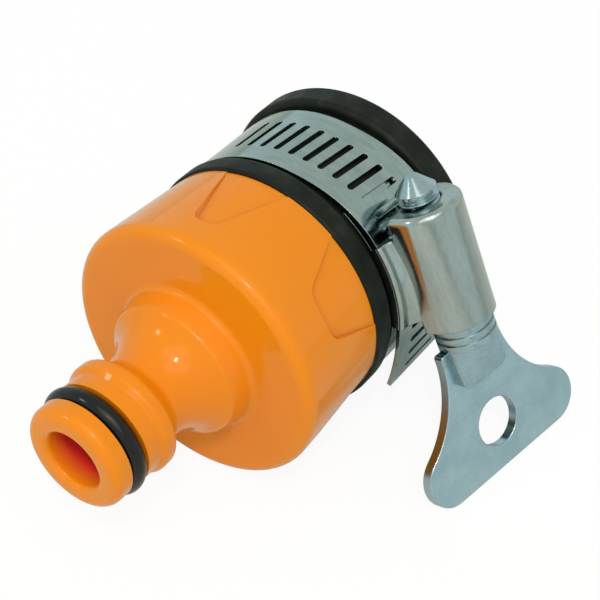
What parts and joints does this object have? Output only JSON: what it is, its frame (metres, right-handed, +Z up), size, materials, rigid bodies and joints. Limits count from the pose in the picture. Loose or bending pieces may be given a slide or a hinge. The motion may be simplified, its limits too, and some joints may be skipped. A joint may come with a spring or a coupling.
{
  "type": "tap adapter",
  "caption": "Clamp-on round tap adapter with rubber sleeve, worm-drive band clamp with thumb key, and quick hose connector spigot.",
  "frame": {"origin": "centre of the tap socket's mouth, on the main axis", "axes": "+X along the main axis from the tap socket to the spigot; +Z up as the adapter lies on its drum, rear flange and key; +Y towards the clamp's housing"},
  "size_m": [0.0654, 0.0592, 0.0416],
  "materials": {
    "orange_plastic": "glossy moulded polypropylene",
    "ring_rubber": "wet-looking black rubber",
    "sleeve_rubber": "satin black rubber",
    "band_zinc": "bright zinc-plated strip",
    "housing_zinc": "bright zinc-plated pressing",
    "screw_zinc": "bright zinc-plated turned steel",
    "key_zinc": "satin zinc-plated plate"
  },
  "bodies": {
    "adapter": {"adapter_body": "orange_plastic", "spigot_ring": "ring_rubber", "rubber_sleeve": "sleeve_rubber"},
    "clamp": {"clamp_band": "band_zinc", "housing_saddle": "housing_zinc", "worm_housing": "housing_zinc"},
    "screw": {"worm_screw": "screw_zinc", "thumb_key": "key_zinc"}
  },
  "joints": [
    {"name": "clamp_swivel", "type": "hinge", "parent": "adapter", "child": "clamp", "pos_m": [0.01205, 0, 0], "axis": [1, 0, 0], "continuous": true},
    {"name": "screw_turn", "type": "hinge", "parent": "clamp", "child": "screw", "pos_m": [0.01205, 0.01926, 0.01203], "axis": [0, 0.5297, -0.8482], "continuous": true}
  ]
}
